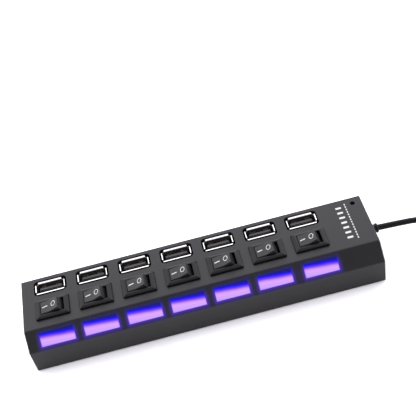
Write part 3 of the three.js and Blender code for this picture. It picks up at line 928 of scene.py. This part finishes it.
def make_socket(port):
    low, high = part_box(f"socket_shell_{port}")
    start = high.z - LIP_RISE
    middle = Matrix.Translation(((low.x + high.x) / 2, (low.y + high.y) / 2, 0))
    pieces = [mesh_of(tube_shape(low.z, start - TUBE_BELOW_LIPS), "tube", middle)]
    for angle, length, reach in LIPS:
        edge = MOUTH[1] / 2 if angle % 180 == 0 else MOUTH[0] / 2
        turn = Matrix.Rotation(math.radians(angle), 4, "Z")
        place = middle @ turn @ Matrix.Translation((0, edge, start))
        pieces.append(mesh_of(lip_shape(length * MM, reach * MM), "lip", place))
    mesh = merged("socket_shell", pieces)
    shade_smooth(mesh, angle=40)
    finish = FINISHES["plated_shell"]
    piece = add(f"socket_shell_{port}_shape", mesh, finish, "root")
    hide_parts(f"socket_shell_{port}")
    bake(piece)


for port in PORTS:
    make_socket(port)


# Marks on the rockers: a bar on the left half and an oval on the right, each on its half's slope

ROCKER_TILT = math.radians(15)
FACE_SLOPE = math.atan(0.65 / 4)
FACE_LOW = 4.05 * MM
MARK_HEIGHT = 0.03 * MM
BAR = (2.45 * MM, 0.47 * MM)
BAR_X = -2.1 * MM
BAR_Y = 0.12 * MM
BAR_TURN = 9
OVAL = (1.12 * MM, 1.38 * MM)
OVAL_STROKE = 0.26 * MM
OVAL_X = 1.95 * MM
OVAL_Y = 0.2 * MM
OVAL_TURN = -3


def on_face(x, y, turn, pivot):
    """From a mark drawn flat at the origin to its place on the rocker's face, at rest."""
    slope = FACE_SLOPE if x < 0 else -FACE_SLOPE
    rise = FACE_LOW + abs(x) * math.tan(FACE_SLOPE)
    on_rocker = Matrix.Translation((x, y, rise)) @ Matrix.Rotation(slope, 4, "Y")
    on_rocker = on_rocker @ Matrix.Rotation(math.radians(turn), 4, "Z")
    return Matrix.Translation(pivot) @ Matrix.Rotation(-ROCKER_TILT, 4, "Y") @ on_rocker


def make_marks(port):
    body = f"rocker_{port}"
    pivot = Vector(HINGES[body]["pos_m"])
    bar = prism(rounded_rectangle(*BAR, radius=0.15 * MM), -MARK_HEIGHT, MARK_HEIGHT)
    bar_mesh = mesh_of(bar, "on_mark", on_face(BAR_X, BAR_Y, BAR_TURN, pivot))
    inside = tuple(half - OVAL_STROKE for half in OVAL)
    oval = ring(OVAL, inside, -MARK_HEIGHT, MARK_HEIGHT)
    oval_mesh = mesh_of(oval, "off_mark", on_face(OVAL_X, OVAL_Y, OVAL_TURN, pivot))
    add(f"on_mark_{port}", bar_mesh, PRINT, body)
    add(f"off_mark_{port}", oval_mesh, PRINT, body)


for port in PORTS:
    make_marks(port)


# Inside the sockets: two spring fingers on the rear wall, and contacts on the tongue. A profile's
# points are (y, z) in millimetres.

SPRING_WALL = 2.5
SPRING_PROFILE = ((0, -3), (-0.15, -1), (-0.75, 2.6), (-0.6, 3.4), (-0.1, 4.6))
SPRING_THICKNESS = 0.2 * MM
SPRING_WIDTH = 2.2 * MM
SPRING_SPREAD = 3.2 * MM
CONTACT_PLACES = (-3.5, -1, 1, 3.5)
CONTACT_PROFILE = ((-0.1, 11.3), (-0.12, 12), (-0.32, 16), (-0.2, 16.8), (-0.05, 17.1))
CONTACT_THICKNESS = 0.15 * MM
CONTACT_WIDTH = 1.0 * MM
TONGUE_FRONT = 12.35 * MM - 0.92 * MM


def strip(profile, thickness, width):
    """A bent strip: (y, z) points along it, made this thick towards +y and this wide along x."""
    shape = bmesh.new()
    front = [shape.verts.new((-width / 2, y, z)) for y, z in profile]
    back = [shape.verts.new((-width / 2, y + thickness, z)) for y, z in profile]
    face = shape.faces.new(front + back[::-1])
    pushed = bmesh.ops.extrude_face_region(shape, geom=[face])
    moved = [item for item in pushed["geom"] if isinstance(item, bmesh.types.BMVert)]
    bmesh.ops.translate(shape, vec=(width, 0, 0), verts=moved)
    return shape


def make_springs(port):
    low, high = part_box(f"socket_shell_{port}")
    middle = (low + high) / 2
    profile = [((SPRING_WALL + y) * MM, z * MM) for y, z in SPRING_PROFILE]
    fingers = []
    for side in (-1, 1):
        finger = strip(profile, SPRING_THICKNESS, SPRING_WIDTH)
        place = Matrix.Translation((middle.x + side * SPRING_SPREAD, middle.y, middle.z))
        fingers.append(mesh_of(finger, "spring", place))
    add(f"socket_springs_{port}", merged("springs", fingers), SPRING)


def make_contacts(port):
    low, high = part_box(f"socket_tongue_{port}")
    middle = (low.x + high.x) / 2
    profile = [(y * MM, z * MM) for y, z in CONTACT_PROFILE]
    pins = []
    for x in CONTACT_PLACES:
        pin = strip(profile, CONTACT_THICKNESS, CONTACT_WIDTH)
        place = Matrix.Translation((middle + x * MM, TONGUE_FRONT, 0))
        pins.append(mesh_of(pin, "contact", place))
    add(f"socket_contacts_{port}", merged("contacts", pins), GOLD)


for port in PORTS:
    make_springs(port)
    make_contacts(port)


# Generic printed marks at the housing's right end: one short bar for each port, and a dashed
# line beside them

INK = 0.02 * MM
PRINTED_BAR = (2.6 * MM, 1.1 * MM)
PRINTED_BAR_X = 68.3
PRINTED_BAR_START = -5.2
PRINTED_BAR_PITCH = 3.05
DASH = (0.5 * MM, 1.0 * MM)
DASH_X = 71.6
DASH_START = -6.3
DASH_PITCH = 1.6
DASHES = 14


def printed_row(name, size, radius, x, start, pitch, count):
    """Flat marks in a row along y on the housing's top, in millimetres from its middle."""
    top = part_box("top_shell")[1].z
    marks = []
    for i in range(count):
        mark = prism(rounded_rectangle(*size, radius, steps=3), -INK, INK)
        place = Matrix.Translation((x * MM, (start + pitch * i) * MM, top))
        marks.append(mesh_of(mark, name, place))
    return marks


def make_print():
    bars = printed_row(
        "bar",
        PRINTED_BAR,
        0.2 * MM,
        PRINTED_BAR_X,
        PRINTED_BAR_START,
        PRINTED_BAR_PITCH,
        len(PORTS),
    )
    dashes = printed_row("dash", DASH, 0.15 * MM, DASH_X, DASH_START, DASH_PITCH, DASHES)
    add("printed_marks", merged("printed_marks", bars + dashes), PRINT)


make_print()


# Studio: a pale floor, and a soft room that is bright above and behind and dim over the camera

FLOOR_REACH = 6
FLOOR_DROP = 0.05 * MM
ROOM_DIM_SIDE = (0, -0.72, 0.69)
ROOM_TINT = (0.99, 0.97, 1.035)
# The room's light by how squarely a direction faces the dim side, over this range of cosines
ROOM_COSINES = (-0.1, 1.0)
ROOM_LIGHT = ((0.0, 3.45), (0.45, 2.9), (0.74, 1.95), (0.88, 0.40))


def make_floor():
    shape = bmesh.new()
    bmesh.ops.create_grid(shape, x_segments=1, y_segments=1, size=FLOOR_REACH)
    mesh = mesh_of(shape, "floor", Matrix.Translation((0, 0, -FLOOR_DROP)))
    floor = bpy.data.objects.new("floor", mesh)
    bpy.context.scene.collection.objects.link(floor)
    shader = Shader("floor_paper", roughness=0.9, specular=0.0)
    paper = shader.noise(0.3, detail=2)
    shader.set(Base_Color=shader.between(paper, (0.93, 0.93, 0.93), (0.95, 0.95, 0.95)))
    mesh.materials.append(shader.material)


def make_room():
    world = bpy.data.worlds.new("room")
    world.use_nodes = True
    tree = world.node_tree
    place = tree.nodes.new("ShaderNodeTexCoord")
    towards = tree.nodes.new("ShaderNodeVectorMath")
    towards.operation = "DOT_PRODUCT"
    towards.inputs[1].default_value = Vector(ROOM_DIM_SIDE).normalized()
    tree.links.new(place.outputs["Generated"], towards.inputs[0])
    ramp = tree.nodes.new("ShaderNodeValToRGB")
    elements = ramp.color_ramp.elements
    while len(elements) < len(ROOM_LIGHT):
        elements.new(0.5)
    for element, (position, light) in zip(elements, ROOM_LIGHT):
        element.position = position
        element.color = (*(part * light for part in ROOM_TINT), 1)
    ranged = tree.nodes.new("ShaderNodeMapRange")
    ranged.inputs["From Min"].default_value = ROOM_COSINES[0]
    ranged.inputs["From Max"].default_value = ROOM_COSINES[1]
    tree.links.new(towards.outputs["Value"], ranged.inputs["Value"])
    tree.links.new(ranged.outputs["Result"], ramp.inputs["Fac"])
    tree.links.new(ramp.outputs["Color"], tree.nodes["Background"].inputs["Color"])
    bpy.context.scene.world = world


make_floor()
make_room()
bpy.context.scene.view_settings.view_transform = "Standard"
